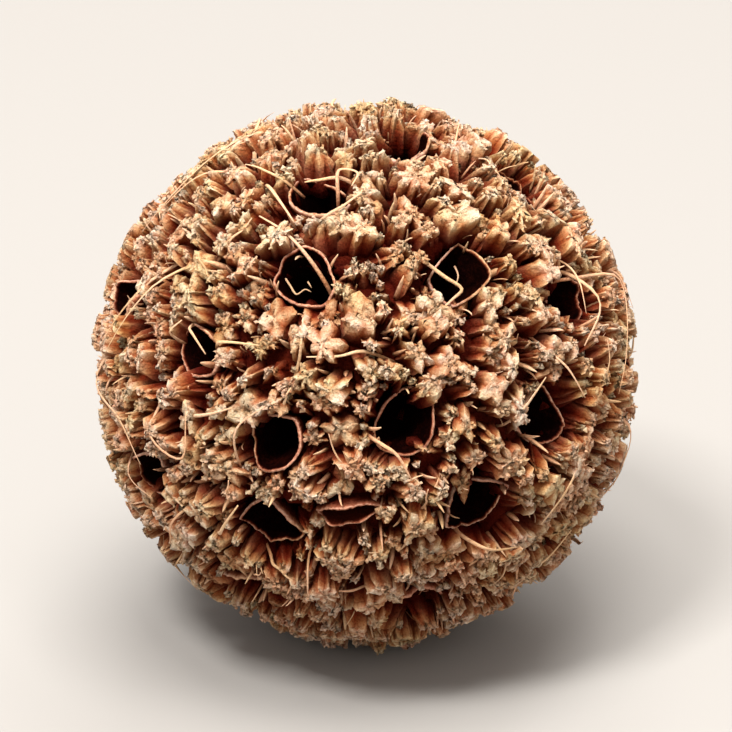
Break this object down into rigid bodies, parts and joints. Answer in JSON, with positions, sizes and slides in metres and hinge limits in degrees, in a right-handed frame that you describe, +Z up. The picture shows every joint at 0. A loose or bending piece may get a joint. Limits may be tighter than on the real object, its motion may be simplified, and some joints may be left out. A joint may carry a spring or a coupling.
{
  "type": "sweetgum seed ball",
  "caption": "Dried round sweetgum seed ball: a woody head of open seed capsules, knobbly scales and fine bristles, resting on a small flat spot.",
  "frame": {"origin": "centre of the flat stalk scar on the underside, in the plane that the ball rests on", "axes": "+Z up through the middle of the ball, -Y towards the side that is best seen in the picture"},
  "size_m": [0.0288, 0.0289, 0.0289],
  "materials": {
    "woody_scales": "dry, matt, tan at the scales' tips and dark red-brown between them"
  },
  "bodies": {
    "root": {"seed_ball": "woody_scales"}
  },
  "joints": []
}
